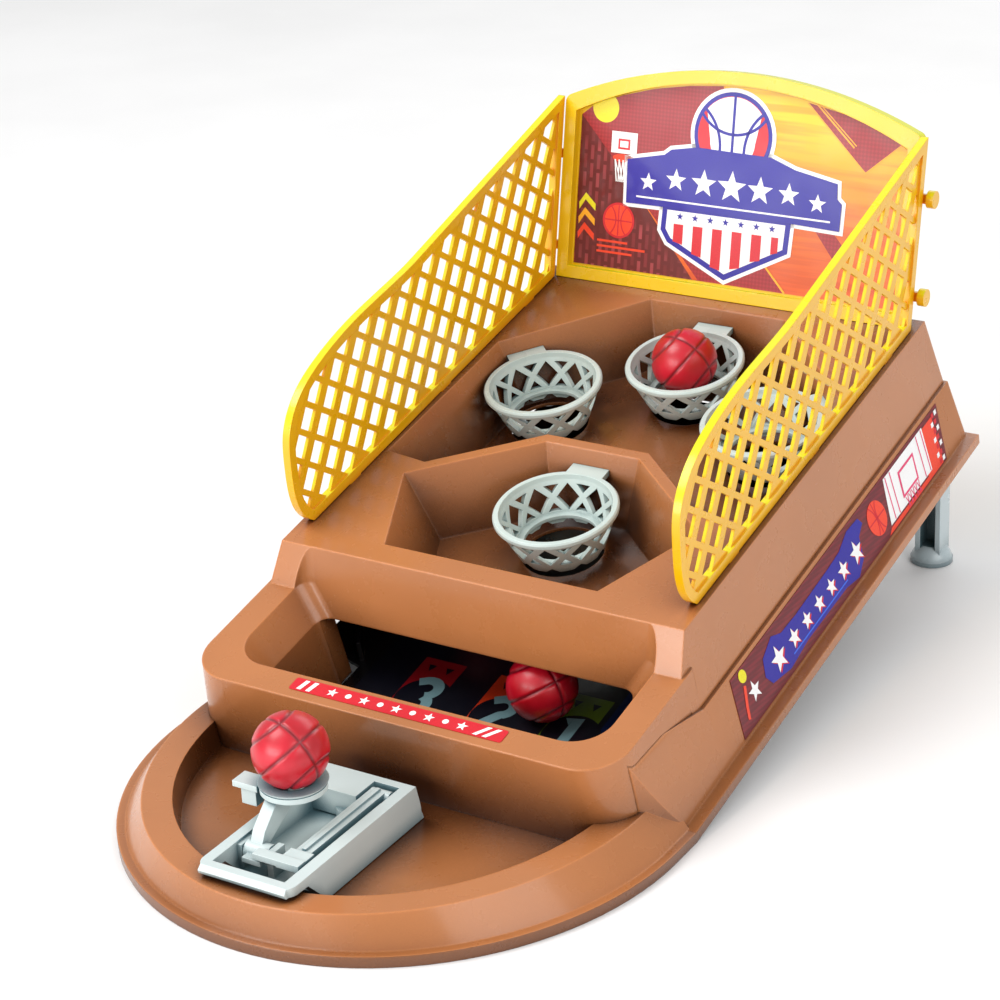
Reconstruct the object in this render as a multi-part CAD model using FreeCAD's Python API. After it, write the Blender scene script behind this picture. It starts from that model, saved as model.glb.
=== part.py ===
"""Tabletop basketball shooting game: a tray with a spring launcher in front of an inclined deck with four hoops.

Two frames are used while building. The deck frame has its origin on the deck's front edge line, x to the
right, y to the rear and z out of the deck. The table frame is level, with z measured up from the table.
deck() carries a shape from the deck frame to the table frame. centred() then puts the origin on the table
under the middle of the whole toy. All sizes are in millimetres.
"""
import FreeCAD
import Part
import math
import os

V = FreeCAD.Vector
X_AXIS = V(1, 0, 0)
Y_AXIS = V(0, 1, 0)
Z_AXIS = V(0, 0, 1)

# whole toy
TILT = 12.0             # slope of the deck, degrees
DECK_HEIGHT = 51.0      # deck origin above the table
MIDDLE_Y = 34.96        # table-frame y of the finished origin

# balls and hoops
BALL_R = 11.0
CHANNEL_BALL = (-24.0, 40.0)
HOOP_R = 20.0
HOOP_TOP = -5.0
HOOP_DEPTH = 14.6
HOOP_HOLE_R = 11.7
HOOP_BOTTOM_R = 14.0
HOOP_COLUMNS = 10
HOOPS = {"front": (0.0, 56.0, 0.0), "left": (-40.6, 119.0, 45.7),
         "right": (40.6, 119.0, -45.7), "rear": (0.0, 144.0, 0.0)}
HOOP_WALL_GAP = {"front": 2.85, "left": 1.7, "right": 1.7, "rear": 2.85}

# deck and shell
DECK_HALF = 70.5
DECK_FRONT = 8.0
DECK_REAR = 181.0
LEDGE_Z = -25.0
LEDGE_HALF = 75.2
LEDGE_REAR = 185.0
WALL = 2.2
PIT_FLOOR = -22.0
PIT_FLOOR_T = 1.2
PIT_INSET = 9.0
PIT_HOLE_R = 13.2
FRONT_PIT = [(-37.5, 16.4), (37.5, 16.4), (52.7, 51.8), (16.8, 81.3), (-16.8, 81.3), (-52.7, 51.8)]
REAR_PIT = [(-65.0, 61.3), (-49.5, 59.2), (-18.3, 85.0), (18.3, 85.0), (49.5, 59.2), (65.0, 61.3),
            (63.6, 130.0), (25.2, 169.3), (-25.2, 169.3), (-63.6, 130.0)]

# trough
RIM_Z = -11.25
TROUGH_HALF = 73.0
TROUGH_FRONT = -45.5
TROUGH_MOUTH_HALF = 63.2
TROUGH_MOUTH_FRONT = -35.5
RECESS_FOOT = 1.5       # y of the recessed wall at the lintel
RECESS_R = 5.0
LINTEL_Z = -21.5
GATE_HALF = 55.5        # half width of the opening under the lintel
RAMP_Z = -46.0          # upper face of the ball ramp under the deck
RAMP_T = 1.3
RAMP_HALF = 52.5
RAMP_WIDE = 72.0        # half width further back, under the hoops
RAMP_FUNNEL = (9.0, 42.0)
RAMP_NARROW = (158.0, 164.0)    # where it narrows to pass between the leg sockets
RAMP_NARROW_HALF = 60.0
RAMP_BEND_Y = -19.0     # where the ramp turns level
RAMP_REAR = 178.0
RAMP_LIP = 7.0
RAMP_POSTS = [(-30.0, 172.5), (30.0, 172.5), (-66.5, 50.0), (66.5, 50.0)]

# base skirt and tray
SKIRT_Z = -46.5
SKIRT_HALF = 83.4
SKIRT_REAR = 180.5
FLANGE_OUT = 2.6
FLANGE_T = 3.4
TRAY_MID_Y = -28.0      # table frame
TRAY_REAR = -15.6       # where the level foot meets the sloping skirt
RIM_TOP = 13.0
RIM_WIDTH = 9.0
TRAY_FLOOR = 5.0
TRAY_FLOOR_T = 1.8
TRAY_TOP_HALF = 75.6
TRAY_TOP_DEPTH = 87.6
TRAY_FOOT_HALF = 83.4
TRAY_FOOT_DEPTH = 89.8

# printed strip on the trough's rim
RIM_STRIP_HALF = 36.6
RIM_STRIP_Y = (-42.2, -37.0)

# side guards and backboard
GUARD_X = 67.4
GUARD_T = 2.6
GUARD_BORDER = 3.2
LATTICE_T = 1.1          # the lattice is thinner than the border
GUARD_FACETS = 36       # straight pieces of the lattice's curved edge
GUARD_OUTLINE = [(20.0, 0.3), (173.9, 0.3), (198.7, 58.2), (99.4, 50.0), (61.6, 49.5), (40.5, 47.0),
                 (24.8, 41.0), (17.8, 33.0), (15.2, 23.5), (14.8, 8.0)]
GUARD_PEGS = (44.0, 100.0, 156.0)
RAIL_ANGLE = -43.5
RAIL_PITCH = 8.75
RAIL_GAP = 6.8
SLAT_ANGLE = 48.0
SLAT_PITCH = 9.2
SLAT_GAP = 5.8
BOARD_FOOT_Y = 174.4
BOARD_LEAN = 23.1
BOARD_HALF = 65.9
BOARD_SIDE_H = 63.0
BOARD_MID_H = 77.0
BOARD_T = 5.0
BOARD_PANEL_T = 1.6
BOARD_BORDER = 4.2
BOARD_GAP = 0.1         # between the board's lower edge and the deck
BOARD_FEET = (-45.0, 0.0, 45.0)

# legs (table frame)
LEG_X = 72.0
LEG_Y = 183.0
LEG_FOOT_R = 7.2
LEG_WIDTH = 9.0
LEG_DEPTH = 8.0
LEG_TOP = 58.0

# launcher (table frame)
LAUNCH_X = -1.4
PIVOT_Y = -59.0
LAUNCH_REAR = -46.8
LAUNCH_FRONT = -112.0
LAUNCH_TOP = 17.0
LAUNCH_HALF = 14.3
AXLE_Y = -94.0
AXLE_Z = 13.6
AXLE_R = 1.5
CUP_X = -6.0
CUP_Y = -79.3
CUP_Z = 26.8
CUP_R = 9.6
LEVER_Y = -55.5
LEVER_Z = 14.6
RUNNING = 0.05          # radial clearance of the hinge pins


def deck(shape):
    """Deck frame to table frame."""
    moved = shape.copy()
    moved.rotate(V(0, 0, 0), X_AXIS, TILT)
    moved.translate(V(0, 0, DECK_HEIGHT))
    return moved


def centred(shape):
    moved = shape.copy()
    moved.translate(V(0, -MIDDLE_Y, 0))
    return moved


def mirrored(shape):
    return shape.mirror(V(0, 0, 0), X_AXIS)


def box(x0, x1, y0, y1, z0, z1):
    return Part.makeBox(x1 - x0, y1 - y0, z1 - z0, V(x0, y0, z0))


def rod(radius, start, end):
    axis = V(*end) - V(*start)
    return Part.makeCylinder(radius, axis.Length, V(*start), axis)


def polygon(points, z):
    corners = [V(x, y, z) for x, y in points]
    return Part.makePolygon(corners + corners[:1])


def rounded(points, z):
    """Closed wire through (x, y, radius) corners, each rounded by its own arc."""
    count = len(points)
    arcs = []
    for i in range(count):
        x, y, radius = points[i]
        here = V(x, y, z)
        back = V(points[i - 1][0], points[i - 1][1], z) - here
        ahead = V(points[(i + 1) % count][0], points[(i + 1) % count][1], z) - here
        back.normalize()
        ahead.normalize()
        half = back.getAngle(ahead) / 2
        reach = radius / math.tan(half)
        middle = back + ahead
        middle.normalize()
        centre = here + middle * (radius / math.sin(half))
        arcs.append((here + back * reach, centre - middle * radius, here + ahead * reach))
    edges = []
    for i in range(count):
        start, through, end = arcs[i]
        edges.append(Part.Arc(start, through, end).toShape())
        following = arcs[(i + 1) % count][0]
        edges.append(Part.LineSegment(end, following).toShape())
    return Part.Wire(edges)


def loft(wires):
    return Part.makeLoft(wires, True, True)


def side_prism(points, x0, x1):
    """Prism along x of an outline given as (y, z)."""
    corners = [V(x0, y, z) for y, z in points]
    face = Part.Face(Part.makePolygon(corners + corners[:1]))
    return face.extrude(V(x1 - x0, 0, 0))


def offset_polygon(points, distance):
    """Outline moved outwards by distance; the points run anticlockwise."""
    count = len(points)
    moved = []
    for i in range(count):
        x0, y0 = points[i - 1]
        x1, y1 = points[i]
        x2, y2 = points[(i + 1) % count]
        a = math.hypot(x1 - x0, y1 - y0)
        b = math.hypot(x2 - x1, y2 - y1)
        n1 = ((y1 - y0) / a, (x0 - x1) / a)
        n2 = ((y2 - y1) / b, (x1 - x2) / b)
        scale = distance / (1 + n1[0] * n2[0] + n1[1] * n2[1])
        moved.append((x1 + (n1[0] + n2[0]) * scale, y1 + (n1[1] + n2[1]) * scale))
    return moved


def pit_cavity(points, grow, floor):
    top = polygon(offset_polygon(points, grow), 0.0)
    low = polygon(offset_polygon(points, grow - PIT_INSET), floor)
    return loft([top, low])


def deck_block(shrink, top, bottom_z):
    """Drafted block under the deck, used for the outside and, shrunk, for the hollow."""
    half_low = LEDGE_HALF - 1.0 - shrink
    upper = polygon([(-DECK_HALF + shrink, shrink), (DECK_HALF - shrink, shrink),
                     (DECK_HALF - shrink, DECK_REAR - shrink), (-DECK_HALF + shrink, DECK_REAR - shrink)], top)
    lower = polygon([(-half_low, shrink), (half_low, shrink),
                     (half_low, LEDGE_REAR - 1.0 - shrink), (-half_low, LEDGE_REAR - 1.0 - shrink)], bottom_z)
    return loft([upper, lower])


def trough_outline(half, front, radius, z, rear, rear_radius=1.0):
    return rounded([(-half, front, radius), (half, front, radius), (half, rear, rear_radius),
                    (-half, rear, rear_radius)], z)


def trough_outer():
    top = trough_outline(TROUGH_HALF, TROUGH_FRONT, 14.0, RIM_Z, 6.0)
    low = trough_outline(TROUGH_HALF + 2.4, TROUGH_FRONT - 3.6, 15.0, SKIRT_Z, 6.0)
    return loft([top, low])


def trough_mouth():
    """Opening of the trough, with the recess that runs up to the deck's front edge."""
    step = (DECK_FRONT - RECESS_FOOT) / LINTEL_Z
    recess = trough_outline(TROUGH_MOUTH_HALF + 0.6, TROUGH_MOUTH_FRONT - 2.0, 12.0, 0.3,
                            DECK_FRONT - 0.3 * step, RECESS_R)
    top = trough_outline(TROUGH_MOUTH_HALF, TROUGH_MOUTH_FRONT, 12.0, RIM_Z, DECK_FRONT - RIM_Z * step, RECESS_R)
    waist = trough_outline(GATE_HALF + 0.6, TROUGH_MOUTH_FRONT + 2.4, 9.0, LINTEL_Z, RECESS_FOOT, RECESS_R)
    low = trough_outline(RAMP_HALF + 0.4, TROUGH_MOUTH_FRONT + 3.6, 7.0, SKIRT_Z - 4, RECESS_FOOT, RECESS_R)
    return loft([recess, top]).fuse([loft([top, waist]), loft([waist, low])])


def hoop_seat(name):
    """Place of a hoop on the deck: centre and the turn that faces its tab to the wall."""
    x, y, turn = HOOPS[name]
    return V(x, y, 0), turn


def upper_shell():
    shell = deck_block(0, 0.0, LEDGE_Z)
    step = side_prism([(-1, 1), (DECK_FRONT, 1), (DECK_FRONT, 0), (0, RIM_Z), (-1, RIM_Z)], -90, 90)
    shell = shell.cut(step)
    shell = shell.cut(deck_block(WALL, -WALL - 0.001, LEDGE_Z - 1))
    front_skin = side_prism([(DECK_FRONT, 0), (0, RIM_Z), (0, SKIRT_Z), (RECESS_FOOT + WALL, SKIRT_Z),
                             (RECESS_FOOT + WALL, LINTEL_Z - 2), (DECK_FRONT + WALL + 0.6, -WALL),
                             (DECK_FRONT + WALL + 0.6, 0)],
                            -DECK_HALF + 0.5, DECK_HALF - 0.5)
    pits = pit_cavity(FRONT_PIT, WALL - 0.4, PIT_FLOOR - PIT_FLOOR_T)
    pits = pits.fuse(pit_cavity(REAR_PIT, WALL - 0.4, PIT_FLOOR - PIT_FLOOR_T))
    trough = trough_outer()
    keep = deck_block(0, 0.0, LEDGE_Z)
    pits = pits.common(keep)
    shell = shell.fuse([front_skin, pits, trough]).cut(trough_mouth())
    gate = [(-RAMP_HALF - 0.6, SKIRT_Z - 5), (RAMP_HALF + 0.6, SKIRT_Z - 5), (GATE_HALF, LINTEL_Z),
            (-GATE_HALF, LINTEL_Z)]
    corners = [V(x, -1, z) for x, z in gate]
    shell = shell.cut(Part.Face(Part.makePolygon(corners + corners[:1])).extrude(V(0, 10, 0)))
    shell = shell.cut(pit_cavity(FRONT_PIT, 0, PIT_FLOOR).fuse(pit_cavity(REAR_PIT, 0, PIT_FLOOR)))
    holes = []
    for name in HOOPS:
        centre, turn = hoop_seat(name)
        holes.append(Part.makeCylinder(PIT_HOLE_R, 6, V(centre.x, centre.y, PIT_FLOOR - 4)))
        holes.append(tab_slot(name))
    shell = shell.cut(holes)
    for x in (-GUARD_X, GUARD_X):
        for y in GUARD_PEGS:
            shell = shell.cut(box(x - 1.35, x + 1.35, y - 3.05, y + 3.05, -3, 1))
    for x, y in RAMP_POSTS:
        post = Part.makeCylinder(3.0, -RAMP_Z - 1.0, V(x, y, RAMP_Z))
        shell = shell.fuse(post)
    shell = shell.cut([Part.makeCylinder(1.1, 9, V(x, y, RAMP_Z - 1)) for x, y in RAMP_POSTS])
    level = box(-100, 100, -140, 300, TRAY_FLOOR, 200)
    return deck(shell).common(level)


def half_ellipse(half, depth, z, rear):
    """Outline with an elliptical front: half its width, depth in front of TRAY_MID_Y, straight to rear."""
    centre = V(0, TRAY_MID_Y, z)
    if depth > half:
        curve = Part.Ellipse(V(0, TRAY_MID_Y - depth, z), V(half, TRAY_MID_Y, z), centre)
        arc = Part.ArcOfEllipse(curve, -math.pi / 2, math.pi / 2)
    else:
        curve = Part.Ellipse(V(half, TRAY_MID_Y, z), V(0, TRAY_MID_Y + depth, z), centre)
        arc = Part.ArcOfEllipse(curve, -math.pi, 0)
    ends = [arc.StartPoint, arc.EndPoint]
    first, last = V(ends[0].x, rear, z), V(ends[1].x, rear, z)
    edges = [Part.LineSegment(first, ends[0]).toShape(), arc.toShape(),
             Part.LineSegment(ends[1], last).toShape(), Part.LineSegment(last, first).toShape()]
    return Part.Wire(edges)


def tray_outer():
    wall = loft([half_ellipse(TRAY_FOOT_HALF, TRAY_FOOT_DEPTH, FLANGE_T, TRAY_REAR),
                 half_ellipse(TRAY_TOP_HALF, TRAY_TOP_DEPTH, RIM_TOP, TRAY_REAR)])
    foot = loft([half_ellipse(TRAY_FOOT_HALF + FLANGE_OUT, TRAY_FOOT_DEPTH + FLANGE_OUT, 0, TRAY_REAR),
                 half_ellipse(TRAY_FOOT_HALF + FLANGE_OUT, TRAY_FOOT_DEPTH + FLANGE_OUT, FLANGE_T, TRAY_REAR)])
    return wall.fuse(foot)


def tray_basin():
    return loft([half_ellipse(TRAY_TOP_HALF - RIM_WIDTH - 1.6, TRAY_TOP_DEPTH - RIM_WIDTH - 1.6, TRAY_FLOOR, 0.0),
                 half_ellipse(TRAY_TOP_HALF - RIM_WIDTH, TRAY_TOP_DEPTH - RIM_WIDTH, RIM_TOP + 0.1, 0.0)])


def skirt_block(shrink, top):
    half_low = SKIRT_HALF - shrink
    half_top = LEDGE_HALF - shrink
    low = polygon([(-half_low, -26), (half_low, -26), (half_low, SKIRT_REAR - shrink),
                   (-half_low, SKIRT_REAR - shrink)], SKIRT_Z)
    high = polygon([(-half_top, 4), (half_top, 4), (half_top, LEDGE_REAR - shrink),
                    (-half_top, LEDGE_REAR - shrink)], top)
    return loft([low, high])


def side_fairing():
    """Flared side beside the trough: its top line rises from the ledge to the trough's rim corner."""
    def section(y, half, top_half, top_z):
        corners = [V(55, y, SKIRT_Z), V(half, y, SKIRT_Z), V(top_half, y, top_z), V(55, y, top_z)]
        return Part.makePolygon(corners + corners[:1])
    body = loft([section(4.5, SKIRT_HALF, LEDGE_HALF, LEDGE_Z), section(-50, SKIRT_HALF, 70.8, -7.5)])
    limit = loft([rounded([(-80, TROUGH_FRONT + 0.3, 30), (80, TROUGH_FRONT + 0.3, 30), (80, 20, 1),
                           (-80, 20, 1)], RIM_Z),
                  rounded([(-86, TROUGH_FRONT - 3.4, 40), (86, TROUGH_FRONT - 3.4, 40), (86, 20, 1),
                           (-86, 20, 1)], SKIRT_Z)])
    return body.common(limit).common(box(0, 90, -50, 4.5, SKIRT_Z, RIM_Z - 0.6))


def base_tray():
    skirt = skirt_block(0, LEDGE_Z)
    flange_rear = SKIRT_REAR + FLANGE_OUT
    flange = box(-SKIRT_HALF - FLANGE_OUT, SKIRT_HALF + FLANGE_OUT, -26, flange_rear, SKIRT_Z, SKIRT_Z + FLANGE_T)
    skirt = skirt.fuse(flange)
    fairing = side_fairing()
    skirt = skirt.fuse([fairing, mirrored(fairing)])
    hollow_low = polygon([(-SKIRT_HALF + 2, -40), (SKIRT_HALF - 2, -40), (SKIRT_HALF - 2, SKIRT_REAR - 2),
                          (-SKIRT_HALF + 2, SKIRT_REAR - 2)], SKIRT_Z - 6)
    hollow_top = polygon([(-LEDGE_HALF + 2, -40), (LEDGE_HALF - 2, -40), (LEDGE_HALF - 2, LEDGE_REAR - 2),
                          (-LEDGE_HALF + 2, LEDGE_REAR - 2)], LEDGE_Z - 1.6)
    skirt = deck(skirt)
    tray = tray_outer()
    body = tray.fuse(skirt)
    hollow = deck(loft([hollow_low, hollow_top]))
    hollow = hollow.common(box(-100, 100, -24, 300, -5, 120))
    opening = deck(box(-LEDGE_HALF + 3.6, LEDGE_HALF - 3.6, 2.4, LEDGE_REAR - 4, LEDGE_Z - 5, LEDGE_Z + 5))
    under = loft([half_ellipse(TRAY_FOOT_HALF - 3, TRAY_FOOT_DEPTH - 3, -1, 0.0),
                  half_ellipse(TRAY_FOOT_HALF - 4, TRAY_FOOT_DEPTH - 4, TRAY_FLOOR - TRAY_FLOOR_T, 0.0)])
    body = body.cut([hollow, opening, under, tray_basin()])
    body = body.cut(deck(trough_outer().fuse(box(-TROUGH_HALF - 0.6, TROUGH_HALF + 0.6, -10, 6, -60, -5)))
                    .common(box(-100, 100, -80, 20, TRAY_FLOOR, 100)))
    body = body.cut(deck(box(-RAMP_HALF - 0.6, RAMP_HALF + 0.6, -36, 6, -60, -30)).common(
        box(-100, 100, -80, 20, -1, TRAY_FLOOR + 0.1)))
    for side in (-1, 1):
        body = body.fuse(leg_socket(side))
    body = body.cut([leg_bar(side, 0.1) for side in (-1, 1)])
    post = Part.makeCylinder(3.0, 6.0, V(LAUNCH_X, PIVOT_Y, TRAY_FLOOR - 0.5))
    body = body.fuse(post).cut(Part.makeCylinder(1.1, 12, V(LAUNCH_X, PIVOT_Y, 2)))
    return body.cut(box(-120, 120, -200, 300, -60, 0))


def leg_bar(side, grow):
    """C-section leg, open to the inside and front, standing on the table."""
    half = LEG_WIDTH / 2 + grow
    deep = LEG_DEPTH / 2 + grow
    outer = box(-half, half, -deep, deep, 4.0, LEG_TOP + grow)
    if grow == 0:
        outer = outer.cut(box(-half + 1.8, half - 1.8, -deep - 1, deep - 1.8, 3, 46))
    outer.translate(V(side * LEG_X, LEG_Y, 0))
    return outer


def leg(side):
    dome = Part.makeSphere(LEG_FOOT_R, V(side * LEG_X, LEG_Y, 0)).common(
        box(side * LEG_X - 12, side * LEG_X + 12, LEG_Y - 12, LEG_Y + 12, 0, 6.2))
    sole = Part.makeCylinder(LEG_FOOT_R, 1.6, V(side * LEG_X, LEG_Y, 0))
    return leg_bar(side, 0).fuse([dome, sole])


def leg_socket(side):
    block = box(-7.0, 7.0, -6.0, 6.0, 40.0, 62.0)
    block.translate(V(side * (LEG_X - 0.5), LEG_Y - 0.6, 0))
    return block.common(deck(skirt_block(1.0, LEDGE_Z)))


def return_ramp():
    """Plate that rolls balls forward, wide under the hoops and narrowed by a funnel to the trough."""
    start, wide = RAMP_FUNNEL
    half = RAMP_HALF
    right = [(half, RAMP_BEND_Y), (half, start), (RAMP_WIDE, start + 6), (RAMP_WIDE, RAMP_NARROW[0]),
             (RAMP_NARROW_HALF, RAMP_NARROW[1]), (RAMP_NARROW_HALF, RAMP_REAR)]
    outline = right + [(-x, y) for x, y in reversed(right)]
    plate = Part.Face(polygon(outline, RAMP_Z - RAMP_T)).extrude(V(0, 0, RAMP_T))
    fence = [(half, start + 3), (RAMP_WIDE, wide), (RAMP_WIDE, wide - 2.6), (half + 1.2, start + 2.3)]
    fences = [Part.Face(polygon([(side * x, y) for x, y in fence], RAMP_Z)).extrude(V(0, 0, RAMP_LIP))
              for side in (-1, 1)]
    bend = deck(Part.Vertex(0, RAMP_BEND_Y, RAMP_Z)).Point
    front = deck(Part.Vertex(0, TROUGH_MOUTH_FRONT + 3.2, RAMP_Z)).Point.y + 0.4
    level = box(-half, half, front, bend.y + 0.2, bend.z - RAMP_T, bend.z)
    ramp = deck(plate.fuse(fences)).fuse(level)
    return ramp.cut([deck(Part.makeCylinder(1.3, 6, V(x, y, RAMP_Z - 4))) for x, y in RAMP_POSTS])


def screw(x, y, z, direction, head_r=2.4, shank_r=1.0, length=7.0):
    axis = V(*direction)
    head = Part.makeCylinder(head_r, 1.3, V(x, y, z), axis)
    shank = Part.makeCylinder(shank_r, length, V(x, y, z), axis * -1)
    slot = box(x - 1.4, x + 1.4, y - 0.25, y + 0.25, z - 5, z + 5)
    cross = box(x - 0.25, x + 0.25, y - 1.4, y + 1.4, z - 5, z + 5)
    outer = Part.makeCylinder(head_r + 1, 0.7, V(x, y, z) + axis * 0.7, axis)
    return head.fuse(shank).cut(slot.fuse(cross).common(outer))


def ramp_screws():
    screws = [screw(x, y, RAMP_Z - RAMP_T, (0, 0, -1), length=6.0) for x, y in RAMP_POSTS]
    return deck(Part.makeCompound(screws))


def turned(shape, name):
    centre, turn = hoop_seat(name)
    moved = shape.copy()
    moved.rotate(V(0, 0, 0), Z_AXIS, turn)
    moved.translate(centre)
    return moved


def tab_solid(name):
    gap = HOOP_WALL_GAP[name]
    return box(-6.5, 6.5, HOOP_R - 2.0, HOOP_R + gap + 1.2, HOOP_TOP - 1.8, HOOP_TOP)


def tab_slot(name):
    gap = HOOP_WALL_GAP[name]
    return turned(box(-6.6, 6.6, HOOP_R, HOOP_R + gap + 1.3, HOOP_TOP - 1.85, HOOP_TOP + 0.05), name)


def hoop_body():
    """Open lattice cup on its own axis, rim at HOOP_TOP."""
    top = HOOP_TOP
    low = top - HOOP_DEPTH
    wall = 1.3
    profile = [V(HOOP_R - 2.2, 0, top - 1.6), V(HOOP_R - 1.9, 0, top), V(HOOP_R - 0.5, 0, top),
               V(HOOP_R, 0, top - 0.6), V(HOOP_R, 0, top - 1.7), V(HOOP_R - 0.9, 0, top - 2.2),
               V(HOOP_BOTTOM_R, 0, low), V(HOOP_BOTTOM_R - wall, 0, low),
               V(HOOP_BOTTOM_R - wall + 0.75, 0, low + 2.0), V(HOOP_HOLE_R, 0, low + 2.0),
               V(HOOP_HOLE_R, 0, low + 3.2), V(HOOP_BOTTOM_R - wall + 1.15, 0, low + 3.2)]
    face = Part.Face(Part.makePolygon(profile + profile[:1]))
    cup = face.revolve(V(0, 0, 0), Z_AXIS, 360)
    cutters = []
    step = 360.0 / HOOP_COLUMNS
    middle = top - 6.9

    def window(points, angle):
        corners = [V(9.0, y, z) for y, z in points]
        hole = Part.Face(Part.makePolygon(corners + corners[:1])).extrude(V(14, 0, 0))
        hole.rotate(V(0, 0, 0), Z_AXIS, angle)
        return hole

    for i in range(HOOP_COLUMNS):
        diamond = [(0, middle + 4.1), (3.8, middle), (0, middle - 4.1), (-3.8, middle)]
        cutters.append(window(diamond, i * step))
        upper = [(-2.5, top - 3.0), (2.5, top - 3.0), (0, top - 5.6)]
        cutters.append(window(upper, (i + 0.5) * step))
        lower = [(-2.2, low + 3.7), (2.2, low + 3.7), (0, low + 6.2)]
        cutters.append(window(lower, (i + 0.5) * step))
        notch = [(-2.2, low - 1), (2.2, low - 1), (2.2, low), (0, low + 1.7), (-2.2, low)]
        cutters.append(window(notch, i * step))
    return cup.cut(cutters)


def hoop(name, cup):
    return deck(turned(cup.fuse(tab_solid(name)), name))


def ball(centre):
    return Part.makeSphere(BALL_R, V(*centre))


def guard_curve(x):
    """Curved upper front edge of the guard."""
    curve = Part.BSplineCurve()
    curve.interpolate([V(x, y, z) for y, z in GUARD_OUTLINE[3:] + GUARD_OUTLINE[:1]])
    return curve.toShape()


def guard_face(x):
    corners = [V(x, y, z) for y, z in GUARD_OUTLINE[:4]]
    straight = [Part.LineSegment(corners[i], corners[i + 1]).toShape() for i in range(3)]
    return Part.Face(Part.Wire(straight + [guard_curve(x)]))


def guard_inside(x):
    """Area inside the guard's solid border."""
    curved = [(point.y, point.z) for point in guard_curve(x).discretize(GUARD_FACETS)]
    outline = offset_polygon(GUARD_OUTLINE[:3] + curved[:-1], -GUARD_BORDER)
    corners = [V(x, y, z) for y, z in outline]
    return Part.Face(Part.makePolygon(corners + corners[:1]))


def guard_panel():
    """Right guard: bordered panel with sloping rails and slats."""
    x0 = GUARD_X - GUARD_T / 2
    face = guard_face(x0)
    inside = guard_inside(x0)
    cells = []
    rail = math.radians(RAIL_ANGLE)
    slat = math.radians(SLAT_ANGLE)
    along = V(0, math.cos(rail), math.sin(rail))
    across = V(0, -math.sin(rail), math.cos(rail))
    lean = V(0, math.cos(slat), math.sin(slat))
    lean_step = lean * (RAIL_GAP / lean.dot(across))
    start = V(x0, 20, 0)
    for row in range(-2, 21):
        origin = start + across * (row * RAIL_PITCH)
        for column in range(-12, 22):
            corner = origin + along * (column * SLAT_PITCH)
            points = [corner, corner + along * SLAT_GAP, corner + along * SLAT_GAP + lean_step,
                      corner + lean_step]
            mid = (points[0] + points[2]) * 0.5
            if 10 < mid.y < 204 and -4 < mid.z < 62:
                cell = Part.Face(Part.makePolygon(points + points[:1])).common(inside)
                cells += [piece for piece in cell.Faces if piece.Area > 4]
    lattice = Part.makeFace([face.OuterWire] + [cell.OuterWire for cell in cells], "Part::FaceMakerBullseye")
    panel = lattice.Faces[0].extrude(V(GUARD_T, 0, 0))
    recesses = [guard_inside(x).extrude(V(1, 0, 0)) for x in (GUARD_X - LATTICE_T / 2 - 1, GUARD_X + LATTICE_T / 2)]
    panel = panel.cut(recesses)
    pegs = [box(GUARD_X - 1.3, GUARD_X + 1.3, y - 3, y + 3, -2.9, 1.2) for y in GUARD_PEGS]
    return panel.fuse(pegs)


def board_place(shape):
    """Board frame (x, height up the board, depth to the rear) to the deck frame."""
    moved = shape.copy()
    moved.rotate(V(0, 0, 0), X_AXIS, -BOARD_LEAN)
    moved.translate(V(0, BOARD_FOOT_Y, 0))
    return moved


def board_outline(shrink, y):
    half = BOARD_HALF - shrink
    low = 0.2 + shrink
    side = BOARD_SIDE_H - shrink * 1.1
    middle = BOARD_MID_H - shrink
    corners = [V(-half, y, low), V(half, y, low), V(half, y, side), V(0, y, middle), V(-half, y, side)]
    edges = [Part.LineSegment(corners[0], corners[1]).toShape(), Part.LineSegment(corners[1], corners[2]).toShape(),
             Part.Arc(corners[2], corners[3], corners[4]).toShape(),
             Part.LineSegment(corners[4], corners[0]).toShape()]
    return Part.Wire(edges)


def backboard():
    outer = Part.Face(board_outline(0, 0)).extrude(V(0, BOARD_T, 0))
    recess = Part.Face(board_outline(BOARD_BORDER, -1)).extrude(V(0, 1 + BOARD_T - BOARD_PANEL_T, 0))
    frame = outer.cut(recess)
    corners = [e for e in frame.Edges if abs(e.tangentAt(e.FirstParameter).y) > 0.99
               and abs(abs(e.BoundBox.Center.x) - BOARD_HALF) < 0.1 and e.BoundBox.Center.z > 30]
    frame = frame.makeFillet(3.0, corners)
    frame = board_place(frame).cut(box(-80, 80, BOARD_FOOT_Y - 9, BOARD_FOOT_Y + 12, -9, BOARD_GAP))
    feet = [board_place(box(x - 6, x + 6, 0.8, BOARD_T - 0.8, -4.6, 3.0)) for x in BOARD_FEET]
    return deck(frame.fuse(feet))


def board_slots():
    slots = [box(x - 6.1, x + 6.1, 0.7, BOARD_T - 0.7, -4.8, 3.0) for x in BOARD_FEET]
    return [deck(board_place(slot)) for slot in slots]


def backboard_sticker():
    sheet = Part.Face(board_outline(BOARD_BORDER + 0.8, BOARD_T - BOARD_PANEL_T - 0.25)).extrude(V(0, 0.25, 0))
    return deck(board_place(sheet))


def guard_clips(side):
    """Two hooked pegs that tie a guard's rear edge to the backboard."""
    clips = []
    for height in (11.0, 43.0):
        x0 = BOARD_HALF
        stem = box(x0, GUARD_X + GUARD_T / 2 + 3.4, 0.6, 3.4, height - 1.5, height + 1.5)
        knob = Part.makeCylinder(2.9, 2.4, V(GUARD_X + GUARD_T / 2 + 1.0, 2.0, height), X_AXIS)
        clips.append(stem.fuse(knob))
    group = board_place(Part.makeCompound(clips))
    if side < 0:
        group = mirrored(group)
    return deck(group)


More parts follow.
